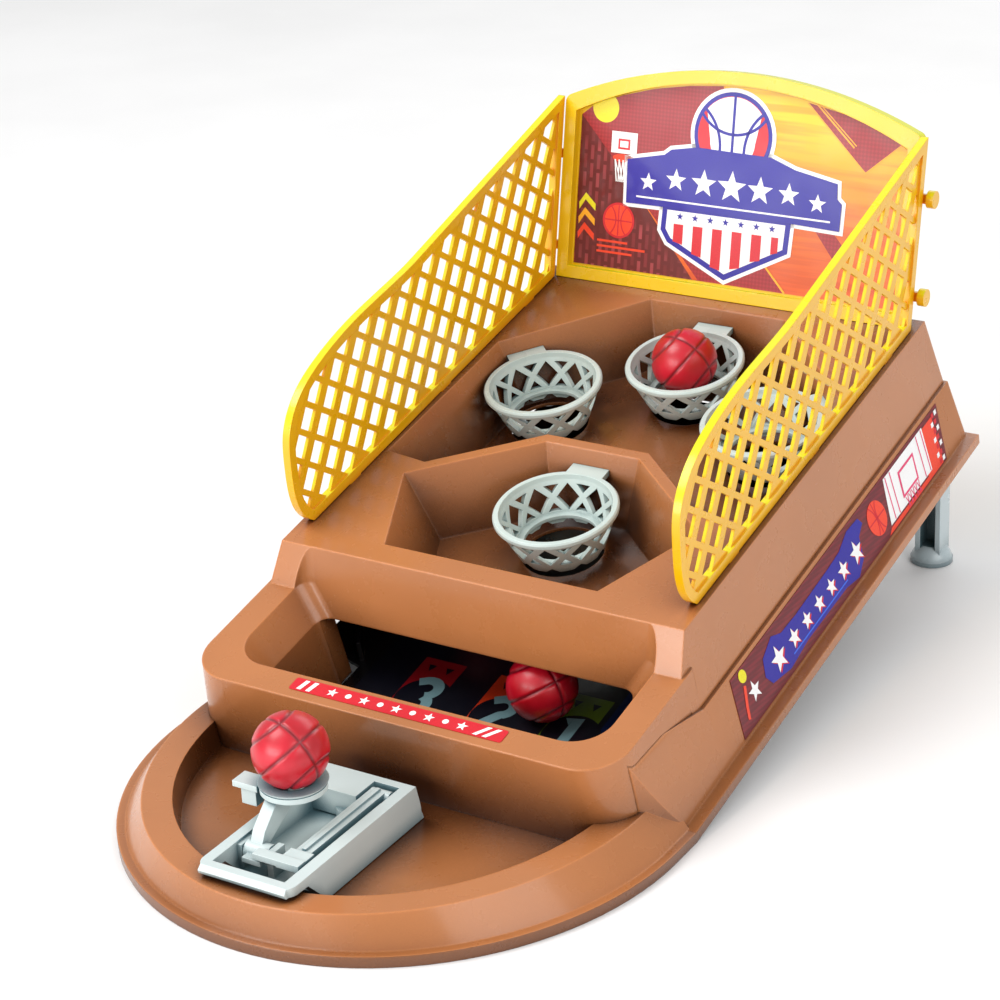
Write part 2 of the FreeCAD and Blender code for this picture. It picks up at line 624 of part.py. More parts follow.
def side_sticker(side):
    """Printed strip with slanted ends on the flared skirt."""
    run = math.hypot(SKIRT_HALF - LEDGE_HALF, LEDGE_Z - SKIRT_Z)
    lean = math.degrees(math.atan2(SKIRT_HALF - LEDGE_HALF, LEDGE_Z - SKIRT_Z))
    strip = side_prism([(14.0, -run + 4.6), (165.5, -run + 4.6), (173.0, -1.4), (20.0, -1.4)], 0, 0.2)
    strip.rotate(V(0, 0, 0), Y_AXIS, -lean)
    strip.translate(V(LEDGE_HALF, 0, LEDGE_Z))
    if side < 0:
        strip = mirrored(strip)
    return deck(strip)


def rim_sticker():
    front, rear = RIM_STRIP_Y
    strip = rounded([(-RIM_STRIP_HALF, front, 0.8), (RIM_STRIP_HALF, front, 0.8), (RIM_STRIP_HALF, rear, 0.8),
                     (-RIM_STRIP_HALF, rear, 0.8)], RIM_Z)
    return deck(Part.Face(strip).extrude(V(0, 0, 0.2)))


def lane_sticker():
    return deck(box(-48, 48, RAMP_BEND_Y + 1, 36, RAMP_Z, RAMP_Z + 0.2))


def launcher_base():
    """Drafted white housing with a front lip over the tray's rim, a window and a swivel socket."""
    floor = TRAY_FLOOR + 0.3
    top = LAUNCH_TOP
    half = LAUNCH_HALF
    side = [(LAUNCH_REAR, floor), (LAUNCH_REAR - 3.0, top), (LAUNCH_FRONT + 1.2, top), (LAUNCH_FRONT, top - 1.4),
            (LAUNCH_FRONT + 0.6, top - 2.7), (-102.8, RIM_TOP + 0.9), (-94.8, floor)]
    body = side_prism(side, -20, 20)
    corners = [V(-half - 1.4, 0, floor), V(half + 1.4, 0, floor), V(half, 0, top), V(-half, 0, top)]
    section = Part.Face(Part.makePolygon(corners + corners[:1])).extrude(V(0, -140, 0))
    plan = rounded([(-half - 1.4, LAUNCH_FRONT, 4.5), (half + 1.4, LAUNCH_FRONT, 4.5),
                    (half + 1.4, LAUNCH_REAR, 1.5), (-half - 1.4, LAUNCH_REAR, 1.5)], 0)
    body = body.common([section, Part.Face(plan).extrude(V(0, 0, 40))])
    window = box(-half + 2.0, half - 2.4, -108.0, -56.6, 8.4, top + 1)
    body = body.cut(window)
    under = box(-half + 1.4, half - 1.4, -94.0, LAUNCH_REAR - 2.6, floor - 1, 7.0)
    body = body.cut(under)
    socket = Part.makeCylinder(5.0, 6.6, V(0, PIVOT_Y, floor)).fuse(box(-half + 1, half - 1, -62.0, -50.0, 9.0, top))
    body = body.fuse(socket.common(section))
    body = body.cut(Part.makeCylinder(3.0 + RUNNING, 5.5, V(0, PIVOT_Y, floor - 0.1)))
    body = body.cut(Part.makeCylinder(1.15, 6.8, V(0, PIVOT_Y, floor)))
    body = body.cut(box(3.4, 12.0, -62.1, -52.6, 10.0, top + 1))
    block_x = [(-13.0, -10.8), (-2.4, -0.4)]
    for x0, x1 in block_x:
        body = body.fuse(box(x0, x1, AXLE_Y - 3, AXLE_Y + 3, 8.0, AXLE_Z + 2.6))
    body = body.fuse(box(10.6, 12.2, AXLE_Y - 3, AXLE_Y + 3, 8.0, AXLE_Z - 2.4))
    bore = rod(AXLE_R, (-12.4, AXLE_Y, AXLE_Z), (-0.9, AXLE_Y, AXLE_Z))
    body = body.cut(bore)
    body = body.cut(rod(1.2, (2.2, LEVER_Y, LEVER_Z), (13.2, LEVER_Y, LEVER_Z)))
    body.translate(V(LAUNCH_X, 0, 0))
    return body


def arm_axle():
    pin = rod(AXLE_R, (-12.4, AXLE_Y, AXLE_Z), (-0.9, AXLE_Y, AXLE_Z))
    pin.translate(V(LAUNCH_X, 0, 0))
    return pin


def lever_pin():
    pin = rod(1.2, (2.2, LEVER_Y, LEVER_Z), (13.2, LEVER_Y, LEVER_Z))
    pin.translate(V(LAUNCH_X, 0, 0))
    return pin


def throw_arm():
    """Cup, its finger tab, the arm and the hub on the axle."""
    hub = rod(3.0, (-10.6, AXLE_Y, AXLE_Z), (-2.6, AXLE_Y, AXLE_Z))
    heel = box(-9.0, -2.8, AXLE_Y - 5.6, AXLE_Y, AXLE_Z - 0.8, AXLE_Z + 0.8)
    rise = [(AXLE_Y - 1.5, AXLE_Z + 1), (AXLE_Y + 2.2, AXLE_Z + 1.4), (CUP_Y + 4, CUP_Z - 2.6), (CUP_Y + 4, CUP_Z),
            (CUP_Y - 6, CUP_Z), (AXLE_Y + 1, AXLE_Z + 6)]
    web = side_prism(rise, -9.4, -5.4)
    local_x = CUP_X - LAUNCH_X
    plate = Part.makeCylinder(CUP_R, 1.6, V(local_x, CUP_Y, CUP_Z))
    ring = Part.makeCone(CUP_R - 1.4, CUP_R + 0.4, 2.6, V(local_x, CUP_Y, CUP_Z))
    seat = Part.makeSphere(BALL_R + 0.3, V(local_x, CUP_Y, CUP_Z + 1.0 + BALL_R))
    hole = Part.makeCylinder(4.2, 10, V(local_x, CUP_Y, CUP_Z - 5))
    tab = box(local_x - CUP_R - 6.4, local_x - CUP_R + 2.0, CUP_Y - 7.0, CUP_Y - 1.0, CUP_Z, CUP_Z + 1.8)
    hook = box(local_x - CUP_R - 4.0, local_x - CUP_R + 1.0, CUP_Y - 6.4, CUP_Y - 3.0, CUP_Z - 5.0, CUP_Z + 0.6)
    arm = hub.fuse([heel, web, plate, ring, tab, hook])
    arm = arm.cut(seat)
    arm = arm.cut(hole.cut(box(local_x - 6, local_x + 6, CUP_Y - 12, CUP_Y + 12, CUP_Z - 9, CUP_Z)))
    arm = arm.cut(rod(AXLE_R + RUNNING, (-12, AXLE_Y, AXLE_Z), (0, AXLE_Y, AXLE_Z)))
    arm.translate(V(LAUNCH_X, 0, 0))
    return arm


def press_lever():
    """Long flat bar hinged at the rear with a T-shaped finger pad over the arm's heel."""
    bar = box(4.4, 9.4, AXLE_Y - 1, LEVER_Y, LEVER_Z - 0.6, LEVER_Z + 2.0)
    rib = box(6.3, 7.5, AXLE_Y + 2, LEVER_Y, LEVER_Z + 1.6, LEVER_Z + 2.7)
    pad = box(-4.4, 11.0, AXLE_Y - 6.6, AXLE_Y - 3.2, LEVER_Z + 0.9, LEVER_Z + 2.8)
    neck = box(3.4, 11.0, AXLE_Y - 6.6, AXLE_Y + 1.0, LEVER_Z + 0.6, LEVER_Z + 2.6)
    hub = rod(2.1, (4.4, LEVER_Y, LEVER_Z), (11.0, LEVER_Y, LEVER_Z))
    lever = bar.fuse([rib, pad, neck, hub])
    lever = lever.cut(rod(1.2 + RUNNING, (0, LEVER_Y, LEVER_Z), (15, LEVER_Y, LEVER_Z)))
    lever.translate(V(LAUNCH_X, 0, 0))
    return lever


def pivot_screw():
    return screw(LAUNCH_X, PIVOT_Y, TRAY_FLOOR - TRAY_FLOOR_T, (0, 0, -1), head_r=2.5, shank_r=1.0, length=8.3)


def ball_centres():
    rear_x, rear_y, rear_turn = HOOPS["rear"]
    ramp = deck(Part.Vertex(17.5, 8.0, RAMP_Z + 0.2 + BALL_R + 0.05)).Point
    channel = deck(Part.Vertex(CHANNEL_BALL[0], CHANNEL_BALL[1], RAMP_Z + 0.2 + BALL_R + 0.05)).Point
    depth = math.sqrt((BALL_R + 0.1) ** 2 - HOOP_HOLE_R ** 2) if BALL_R > HOOP_HOLE_R else 0.0
    in_hoop = deck(Part.Vertex(rear_x, rear_y, HOOP_TOP - HOOP_DEPTH + 3.2 + BALL_R + 0.2 + depth)).Point
    return {"ball_hoop": in_hoop, "ball_ramp": ramp, "ball_channel": channel,
            "ball_cup": V(CUP_X, CUP_Y, CUP_Z + 1.0 + BALL_R)}


def build():
    parts = {}
    shell = upper_shell().cut(board_slots())
    parts["upper_shell"] = shell
    parts["base_tray"] = base_tray()
    parts["return_ramp"] = return_ramp()
    parts["ramp_screws"] = ramp_screws()
    cup = hoop_body()
    for name in HOOPS:
        parts["hoop_" + name] = hoop(name, cup)
    guard = guard_panel()
    parts["guard_right"] = deck(guard)
    parts["guard_left"] = deck(mirrored(guard))
    parts["backboard"] = backboard()
    parts["backboard_sticker"] = backboard_sticker()
    parts["guard_clips_right"] = guard_clips(1)
    parts["guard_clips_left"] = guard_clips(-1)
    parts["leg_right"] = leg(1)
    parts["leg_left"] = leg(-1)
    parts["side_sticker_right"] = side_sticker(1)
    parts["side_sticker_left"] = side_sticker(-1)
    parts["rim_sticker"] = rim_sticker()
    parts["lane_sticker"] = lane_sticker()
    parts["launcher_base"] = launcher_base()
    parts["arm_axle"] = arm_axle()
    parts["lever_pin"] = lever_pin()
    parts["throw_arm"] = throw_arm()
    parts["press_lever"] = press_lever()
    parts["pivot_screw"] = pivot_screw()
    for name, centre in ball_centres().items():
        parts[name] = ball(centre)
    return parts


os.makedirs("parts", exist_ok=True)
for node, shape in build().items():
    centred(shape).exportStep(os.path.join("parts", node + ".step"))
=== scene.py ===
"""Looks of the tabletop basketball game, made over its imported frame."""
import bpy
import bmesh
import math
import numpy as np
from mathutils import Matrix, Vector


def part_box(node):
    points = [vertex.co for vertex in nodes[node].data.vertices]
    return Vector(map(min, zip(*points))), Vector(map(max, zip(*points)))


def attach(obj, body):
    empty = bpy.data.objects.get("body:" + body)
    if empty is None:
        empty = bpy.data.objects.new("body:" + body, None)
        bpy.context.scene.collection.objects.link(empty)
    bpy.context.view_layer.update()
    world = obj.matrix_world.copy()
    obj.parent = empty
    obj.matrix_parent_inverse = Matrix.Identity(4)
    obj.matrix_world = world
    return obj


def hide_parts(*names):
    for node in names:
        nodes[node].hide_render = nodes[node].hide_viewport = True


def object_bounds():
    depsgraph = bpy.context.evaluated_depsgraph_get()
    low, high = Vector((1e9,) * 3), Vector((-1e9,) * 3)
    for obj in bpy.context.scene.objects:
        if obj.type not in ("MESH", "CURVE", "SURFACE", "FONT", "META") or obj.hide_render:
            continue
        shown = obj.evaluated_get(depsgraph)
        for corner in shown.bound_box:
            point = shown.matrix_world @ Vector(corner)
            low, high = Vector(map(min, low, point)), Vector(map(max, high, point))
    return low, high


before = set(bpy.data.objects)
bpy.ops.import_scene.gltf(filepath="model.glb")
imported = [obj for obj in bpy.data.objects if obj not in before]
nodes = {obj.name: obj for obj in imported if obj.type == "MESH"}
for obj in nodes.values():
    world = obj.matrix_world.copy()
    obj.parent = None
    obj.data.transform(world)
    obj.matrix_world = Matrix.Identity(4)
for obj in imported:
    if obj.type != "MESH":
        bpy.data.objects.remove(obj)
cad_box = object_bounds()

MM = 0.001
TILT = math.radians(12.0)                        # slope of the deck
BOARD_TILT = math.radians(11.1)                  # lean of the backboard
DECK_UP = (0, math.cos(TILT), math.sin(TILT))    # direction up the deck
SKIRT_OUT, SKIRT_DROP = 8.2, 21.5                # how far in mm a side skirt runs out and down
SMOOTH_ANGLE = math.radians(30.0)                # edges that turn more than this stay sharp

CAMERA_AT = Vector((0.3916, -0.6167, 0.3949))
CAMERA_AIM = Vector((-0.01466, 0.01217, 0.0610))
CAMERA_RIGHT = Vector((0.851, 0.523, -0.050))
LENS, SENSOR_WIDTH = 95.2, 36.0    # mm


# ---------------------------------------------------------------- materials

def rgb(r, g, b):
    """Linear colour from 0-255 display values."""
    return tuple((c / 255 / 12.92) if c / 255 <= 0.04045 else ((c / 255 + 0.055) / 1.055) ** 2.4
                 for c in (r, g, b)) + (1.0,)


class Nodes:
    """Thin wrapper that adds nodes to a material and links them."""

    def __init__(self, name):
        self.material = bpy.data.materials.new(name)
        self.material.use_nodes = True
        self.tree = self.material.node_tree
        self.shader = self.tree.nodes["Principled BSDF"]

    def add(self, kind, inputs=None, **settings):
        """New node with its settings, and with its inputs set or linked."""
        node = self.tree.nodes.new(kind)
        for key, value in settings.items():
            setattr(node, key, value)
        for key, value in (inputs or {}).items():
            self.put(node, key, value)
        return node

    def put(self, node, key, value):
        """Link an input to another node's output, or give it a value."""
        if isinstance(value, bpy.types.NodeSocket):
            self.tree.links.new(value, node.inputs[key])
        else:
            node.inputs[key].default_value = value

    def set(self, **values):
        """Inputs of the material's shader, with _ for each space in their names."""
        for key, value in values.items():
            self.put(self.shader, key.replace("_", " "), value)

    def place(self):
        """Coordinates in the object, in metres."""
        return self.add("ShaderNodeTexCoord").outputs["Object"]

    def mapped(self, vector, **settings):
        """The vector, turned and scaled."""
        return self.add("ShaderNodeMapping", {"Vector": vector, **settings}).outputs[0]

    def split(self, vector):
        """The vector's x, y and z."""
        return self.add("ShaderNodeSeparateXYZ", {0: vector}).outputs

    def noise(self, vector, scale, detail=3.0, roughness=0.5):
        node = self.add("ShaderNodeTexNoise", {"Vector": vector, "Scale": scale, "Detail": detail,
                                               "Roughness": roughness})
        return node.outputs["Fac"]

    def ramp(self, factor, stops):
        """Colour between stops, each a place from 0 to 1 and a colour."""
        node = self.add("ShaderNodeValToRGB", {"Fac": factor})
        ramp = node.color_ramp
        while len(ramp.elements) < len(stops):
            ramp.elements.new(0.5)
        for element, (position, colour) in zip(ramp.elements, stops):
            element.position = position
            element.color = colour
        return node.outputs["Color"]

    def math(self, operation, a, b=0.0):
        return self.add("ShaderNodeMath", {0: a, 1: b}, operation=operation).outputs[0]

    def mix(self, factor, a, b, blend="MIX"):
        node = self.add("ShaderNodeMix", {0: factor, 6: a, 7: b}, data_type="RGBA", blend_type=blend)
        return node.outputs[2]

    def span(self, value, low, high, out_low, out_high):
        """The value's range from low to high carried to out_low to out_high, and held at the ends."""
        node = self.add("ShaderNodeMapRange", {0: value, 1: low, 2: high, 3: out_low, 4: out_high})
        return node.outputs[0]

    def bump(self, height, strength, distance, normal=None):
        node = self.add("ShaderNodeBump", {"Height": height, "Strength": strength, "Distance": distance})
        if normal:
            self.put(node, "Normal", normal)
        self.put(self.shader, "Normal", node.outputs[0])

    def facing(self):
        """Which way the surface faces."""
        return self.add("ShaderNodeNewGeometry").outputs["Normal"]

    def rounded(self, radius):
        """Normal of edges rounded by the radius, and 0 on flats to 1 on those edges."""
        normal = self.add("ShaderNodeBevel", {"Radius": radius}, samples=6).outputs[0]
        turn = self.add("ShaderNodeVectorMath", {0: normal, 1: self.facing()}, operation="DOT_PRODUCT")
        return normal, self.span(turn.outputs["Value"], 0.999, 0.93, 0.0, 1.0)

    def hollow(self, distance):
        """Painted shade mask: 0 on open faces to 1 far into hollows."""
        node = self.add("ShaderNodeAmbientOcclusion", {"Distance": distance}, samples=8)
        return self.span(node.outputs["AO"], 0.88, 0.4, 0.0, 1.0)


def shade(colour, factor):
    """The colour made brighter or darker by the factor."""
    return tuple(c * factor for c in colour[:3]) + (1.0,)


RUBBED, RUBBED_SHARE = 1.35, 0.05    # brightness of rubbed specks, and how much of it shows
PAINTED_EDGE_LIGHT = 1.7                       # brightness of the painted highlight on rounded edges, before its share is applied
SCRATCH_STRETCH = (40.0, 900.0, 300.0)


def plastic(name, colour, rough=0.3, vary=0.08, coat=0.15, glow=0.0, edge=0.0005, painted_edge_share=0.35, painted_hollow_shade=None,
            reach=0.03, painted_top_light=None):
    """Moulded plastic: flow marks, uneven gloss, fine scratches and a painted highlight on rounded edges.

    Painted shade: hollows narrower than reach take the given shade colour. Painted light: faces that look
    up take the given top colour.
    """
    m = Nodes(name)
    place = m.place()
    flow = m.noise(place, scale=26.0, detail=4.0, roughness=0.55)
    tone = m.ramp(flow, [(0.3, shade(colour, 1 - vary)), (0.7, shade(colour, 1 + vary))])
    speck = m.noise(place, scale=700.0, detail=2.0)
    wear_and_painted_light = m.mix(m.span(speck, 0.62, 0.75, 0.0, RUBBED_SHARE), tone, shade(colour, RUBBED))
    normal, corner = m.rounded(edge)
    # Painted highlight: rounded edges take a brighter copy of the colour.
    wear_and_painted_light = m.mix(m.math("MULTIPLY", corner, painted_edge_share), wear_and_painted_light, shade(colour, PAINTED_EDGE_LIGHT))
    if painted_top_light:
        # Painted light: faces that look up take the given top colour.
        rise = m.split(m.facing())[2]
        wear_and_painted_light = m.mix(m.span(rise, 0.15, 0.7, 0.0, 1.0), wear_and_painted_light, painted_top_light)
    if painted_hollow_shade:
        # Painted shade: hollows take the given darker colour.
        wear_and_painted_light = m.mix(m.hollow(reach), wear_and_painted_light, painted_hollow_shade)
    m.set(Base_Color=wear_and_painted_light, IOR=1.47, Coat_Weight=coat, Coat_Roughness=0.12)
    if glow:
        m.set(Subsurface_Weight=glow, Subsurface_Scale=0.002)
        m.put(m.shader, "Subsurface Radius", tuple(0.3 + c for c in colour[:3]))
    patch = m.noise(place, scale=55.0, detail=5.0, roughness=0.6)
    m.set(Roughness=m.span(patch, 0.25, 0.75, rough - 0.06, rough + 0.08))
    peel = m.noise(place, scale=1500.0, detail=2.0)
    stretched = m.mapped(place, Scale=SCRATCH_STRETCH)
    scratch = m.span(m.noise(stretched, scale=1.0, detail=4.0, roughness=0.7), 0.64, 0.7, 0.0, 0.6)
    m.bump(m.math("SUBTRACT", peel, scratch), strength=0.05, distance=0.0002, normal=normal)
    return m.material


def rubbed_steel(name):
    """Bright steel with fine streaks."""
    m = Nodes(name)
    streak = m.noise(m.mapped(m.place(), Scale=(900.0, 200.0, 200.0)), scale=1.0)
    m.set(Base_Color=m.ramp(streak, [(0.3, rgb(150, 150, 152)), (0.7, rgb(205, 205, 208))]), Metallic=1.0,
          Roughness=m.span(streak, 0.3, 0.7, 0.22, 0.4))
    m.bump(streak, strength=0.1, distance=0.0001)
    return m.material


PRINT_ROUGH = 0.34


def print_gloss(m):
    """Shared gloss of the laminated printed sheets."""
    place = m.place()
    patch = m.noise(place, scale=90.0, detail=4.0)
    m.set(Roughness=m.span(patch, 0.3, 0.7, PRINT_ROUGH - 0.05, PRINT_ROUGH + 0.08), Coat_Weight=0.15,
          Coat_Roughness=0.08)
    m.bump(m.noise(place, scale=260.0, detail=3.0), strength=0.06, distance=0.0002)
    return m.material


def ink(name, colour, vary=0.06):
    """Flat printed colour with the faint dot pattern of a press."""
    m = Nodes(name)
    place = m.place()
    dots = m.add("ShaderNodeTexVoronoi", {"Vector": place, "Scale": 1600.0}).outputs["Distance"]
    cloud = m.noise(place, scale=40.0)
    mixed = m.math("ADD", m.math("MULTIPLY", dots, 0.5), m.math("MULTIPLY", cloud, 0.5))
    tone = m.ramp(mixed, [(0.2, shade(colour, 1 - vary)), (0.6, shade(colour, 1 + vary))])
    m.set(Base_Color=tone)
    return print_gloss(m)


WEAVE_PITCH = 3400.0    # radians per metre across the threads


def maroon_weave(name, low, high):
    """Maroon field with a fine diagonal mesh, between two tones."""
    m = Nodes(name)
    across, _, up = m.split(m.mapped(m.place(), Rotation=(0, math.radians(45), 0)))
    a = m.math("SINE", m.math("MULTIPLY", across, WEAVE_PITCH))
    b = m.math("SINE", m.math("MULTIPLY", up, WEAVE_PITCH))
    m.set(Base_Color=m.ramp(m.span(m.math("MULTIPLY", a, b), -1, 1, 0, 1), [(0.3, low), (0.8, high)]))
    return print_gloss(m)


def maroon_dashes(name):
    """Dark maroon field with rows of short upright dashes that fade in and out."""
    m = Nodes(name)
    place = m.place()
    across, _, up = m.split(place)
    flat = m.add("ShaderNodeCombineXYZ", {0: up, 1: across, 2: 0.0}).outputs[0]
    bricks = m.add("ShaderNodeTexBrick", {
        "Vector": flat, "Color1": rgb(172, 66, 74), "Color2": rgb(116, 14, 24), "Mortar": rgb(98, 2, 10),
        "Scale": 1.0, "Mortar Size": 0.00085, "Mortar Smooth": 0.4, "Brick Width": 0.0062,
        "Row Height": 0.0026}, offset=0.5)
    fade = m.ramp(m.noise(place, scale=60.0, detail=2.0), [(0.38, (0, 0, 0, 1)), (0.62, (1, 1, 1, 1))])
    m.set(Base_Color=m.mix(fade, rgb(98, 2, 8), bricks.outputs[0]))
    return print_gloss(m)


COURT_FOOT, COURT_TOP = 0.092, 0.158    # heights between which the court goes from orange to yellow


def court_streaks(name):
    """Yellow to orange field with long level streaks, like boards of a floor."""
    m = Nodes(name)
    place = m.place()
    height = m.span(m.split(place)[2], COURT_FOOT, COURT_TOP, 0.0, 1.0)
    base = m.ramp(height, [(0.0, rgb(226, 92, 14)), (0.35, rgb(232, 116, 14)), (0.6, rgb(236, 156, 12)),
                           (0.85, rgb(240, 196, 10))])
    turned = m.mapped(place, Rotation=(0, math.radians(4), 0), Scale=(16.0, 16.0, 330.0))
    grain = m.noise(turned, scale=1.0, detail=3.0)
    streak = m.ramp(grain, [(0.42, (0.78, 0.6, 0.5, 1)), (0.58, (1.08, 1.08, 1.0, 1))])
    m.set(Base_Color=m.mix(0.75, base, streak, "MULTIPLY"))
    return print_gloss(m)


def ball_plastic(name):
    """Glossy crimson ball; the grooves carry a darker tone from the mesh's groove attribute."""
    m = Nodes(name)
    place = m.place()
    groove = m.add("ShaderNodeAttribute", attribute_name="groove").outputs["Fac"]
    cloud = m.noise(place, scale=90.0, detail=3.0)
    tone = m.ramp(cloud, [(0.35, rgb(176, 4, 24)), (0.65, rgb(206, 12, 42))])
    dark = m.mix(m.span(groove, 0.15, 0.95, 0.0, 0.8), tone, rgb(104, 4, 22))
    m.set(Base_Color=dark, Coat_Weight=0.35, Coat_Roughness=0.25, Subsurface_Weight=0.08,
          Subsurface_Scale=0.002)
    m.put(m.shader, "Subsurface Radius", (1.0, 0.25, 0.3))
    m.set(Roughness=m.span(m.noise(place, scale=130.0, detail=5.0), 0.3, 0.7, 0.3, 0.44))
    m.bump(m.noise(place, scale=900.0, detail=2.0), strength=0.06, distance=0.0003)
    return m.material


def floor_paper(name):
    """Nearly white matt paper."""
    m = Nodes(name)
    place = m.place()
    cloud = m.noise(place, scale=6.0, detail=5.0)
    tone = m.ramp(cloud, [(0.35, rgb(240, 240, 240)), (0.65, rgb(246, 246, 246))])
    m.set(Base_Color=tone, Roughness=0.75)
    m.bump(m.noise(place, scale=300.0, detail=3.0), strength=0.03, distance=0.0005)
    return m.material


# The darker colours these plastics take in their hollows are painted shade.
BODY = plastic("body_orange_brown", rgb(180, 114, 66), rough=0.27, vary=0.05, coat=0.3, glow=0.02,
               edge=0.0009, painted_edge_share=0.55, painted_hollow_shade=rgb(66, 32, 11), reach=0.038)
# The guard and board take a lemon colour on faces that look up: painted light.
GUARD = plastic("guard_yellow", rgb(234, 178, 4), rough=0.28, vary=0.05, coat=0.3, glow=0.05, edge=0.0004,
                painted_hollow_shade=rgb(232, 138, 0), reach=0.004, painted_top_light=rgb(230, 220, 8))
BOARD = plastic("board_lemon", rgb(236, 190, 6), rough=0.28, vary=0.05, coat=0.3, glow=0.05, edge=0.0004,
                painted_top_light=rgb(226, 228, 12))
HOOP = plastic("hoop_grey_green", rgb(200, 216, 212), rough=0.26, vary=0.04, coat=0.3, glow=0.05,
               edge=0.0003, painted_hollow_shade=rgb(104, 128, 128), reach=0.006)
WHITE = plastic("launcher_white", rgb(202, 215, 214), rough=0.34, vary=0.03, coat=0.15, glow=0.05,
                edge=0.0003, painted_hollow_shade=rgb(92, 122, 130), reach=0.008)
LEG = plastic("leg_silver_grey", rgb(188, 202, 206), rough=0.24, vary=0.05, coat=0.4, painted_hollow_shade=rgb(70, 92, 98),
              reach=0.016)
RAMP = plastic("ramp_black", rgb(20, 18, 20), rough=0.3, vary=0.2, coat=0.2)
STEEL = rubbed_steel("screw_steel")
BALL = ball_plastic("ball_crimson")
DASHES = maroon_dashes("print_dark_maroon")
WEAVE = maroon_weave("print_maroon", rgb(146, 14, 24), rgb(168, 26, 36))
COURT = court_streaks("print_court")
SIDE_RED = maroon_weave("print_side_maroon", rgb(100, 8, 22), rgb(124, 18, 32))
WHITE_INK = ink("print_white", rgb(244, 244, 244), 0.03)
BLUE_INK = ink("print_blue", rgb(26, 12, 150))
SKY_INK = ink("print_sky", rgb(44, 96, 220))
RED_INK = ink("print_red", rgb(208, 14, 36))
ORANGE_INK = ink("print_orange_red", rgb(238, 62, 26))
LEMON_INK = ink("print_lemon", rgb(232, 220, 10))
AMBER_INK = ink("print_amber", rgb(246, 172, 20))
PINK_INK = ink("print_pink", rgb(226, 60, 112))
BLACK_INK = ink("print_black", rgb(12, 12, 22), 0.2)
NAVY_INK = ink("print_navy", rgb(10, 26, 70))
# The red, orange and green lane inks are darkened copies of print colours: painted shade of the trough they
# lie in.
SHADED_LANE_RED = ink("print_red_painted_shade", rgb(132, 12, 22))
SHADED_LANE_ORANGE = ink("print_orange_painted_shade", rgb(196, 54, 22))
SHADED_LANE_GREEN = ink("print_green_painted_shade", rgb(96, 122, 22))
LANE_TEAL = ink("print_grey_teal", rgb(112, 146, 152))


FINISH = {
    "upper_shell": BODY, "base_tray": BODY, "return_ramp": RAMP, "ramp_screws": STEEL,
    "hoop_front": HOOP, "hoop_left": HOOP, "hoop_right": HOOP, "hoop_rear": HOOP,
    "guard_right": GUARD, "guard_left": GUARD, "backboard": BOARD,
    "guard_clips_right": GUARD, "guard_clips_left": GUARD, "leg_right": LEG, "leg_left": LEG,
    "backboard_sticker": COURT, "side_sticker_right": SIDE_RED, "side_sticker_left": SIDE_RED,
    "rim_sticker": RED_INK, "lane_sticker": BLACK_INK,
    "launcher_base": WHITE, "arm_axle": WHITE, "lever_pin": WHITE, "throw_arm": WHITE, "press_lever": WHITE,
    "pivot_screw": STEEL,
}
for node_name, finish in FINISH.items():
    skin = nodes[node_name].data
    skin.materials.clear()
    skin.materials.append(finish)
    skin.shade_smooth()
    skin.set_sharp_from_angle(angle=SMOOTH_ANGLE)


# ---------------------------------------------------------------- balls

BALL_ROUNDS = 7                # subdivisions of the icosphere
SEAM_HALF = 0.052              # half width of a seam, in radii
SEAM_DEPTH = 0.0004            # depth of a seam's groove
SIDE_SEAM, SIDE_BOW = 0.7, 0.1    # where the side curves lie, in radii, and how far they bow

# The seams are placed as they face a viewer: TOWARDS the viewer, to the viewer's RIGHT and ABOVE.
RIGHT = CAMERA_RIGHT.normalized()
TOWARDS = Vector((0.492, -0.762, 0.404)).normalized()
ABOVE = TOWARDS.cross(RIGHT).normalized()
SEAM_POLE = (RIGHT * -0.65 + ABOVE * 0.76).normalized()
SEAM_SIDE = (RIGHT * 0.72 + ABOVE * 0.6 - TOWARDS * 0.43).normalized()


def seam_distance(p):
    """Distance of unit vectors from the seam lines of a ball: two great circles and two side curves."""
    x, _, z = p.T
    side = np.abs(np.abs(x) - (SIDE_SEAM + SIDE_BOW * z * z))
    return np.minimum(np.minimum(np.abs(x), np.abs(z)), side)


def make_ball(node, body, turn):
    """Seamed ball in the node's place, its seams turned by degrees about the line to the viewer."""
    low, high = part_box(node)
    centre, radius = (low + high) / 2, (high - low).x / 2
    bm = bmesh.new()
    bmesh.ops.create_icosphere(bm, subdivisions=BALL_ROUNDS, radius=1.0)
    mesh = bpy.data.meshes.new(node + "_seamed")
    bm.to_mesh(mesh)
    bm.free()
    unit = np.zeros(len(mesh.vertices) * 3)
    mesh.vertices.foreach_get("co", unit)
    unit = unit.reshape(-1, 3)
    unit /= np.linalg.norm(unit, axis=1, keepdims=True)
    across = SEAM_SIDE.cross(SEAM_POLE).normalized()
    axes = Matrix((SEAM_POLE, across, SEAM_POLE.cross(across))).transposed()
    local = unit @ np.array(Matrix.Rotation(math.radians(turn), 3, TOWARDS) @ axes)
    groove = np.exp(-(seam_distance(local) / SEAM_HALF) ** 2)
    reach = radius - SEAM_DEPTH * groove
    co = unit * reach[:, None] + np.array(centre)
    mesh.vertices.foreach_set("co", co.ravel())
    mesh.attributes.new("groove", "FLOAT", "POINT").data.foreach_set("value", groove)
    mesh.shade_smooth()
    mesh.materials.append(BALL)
    ball = bpy.data.objects.new(node + "_seamed", mesh)
    bpy.context.scene.collection.objects.link(ball)
    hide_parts(node)
    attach(ball, body)


make_ball("ball_hoop", "ball_in_hoop", 8)
make_ball("ball_ramp", "ball_on_ramp", -14)
make_ball("ball_channel", "ball_in_channel", 60)
make_ball("ball_cup", "ball_in_cup", 0)


# ---------------------------------------------------------------- printed artwork

LAYER = 0.00005      # height of one printed layer over the one below it
STAR_INNER = 0.42    # inner radius of a star as a share of its outer one
CENTRED = 0.01       # a sheet whose middle is nearer the machine's middle than this looks forwards


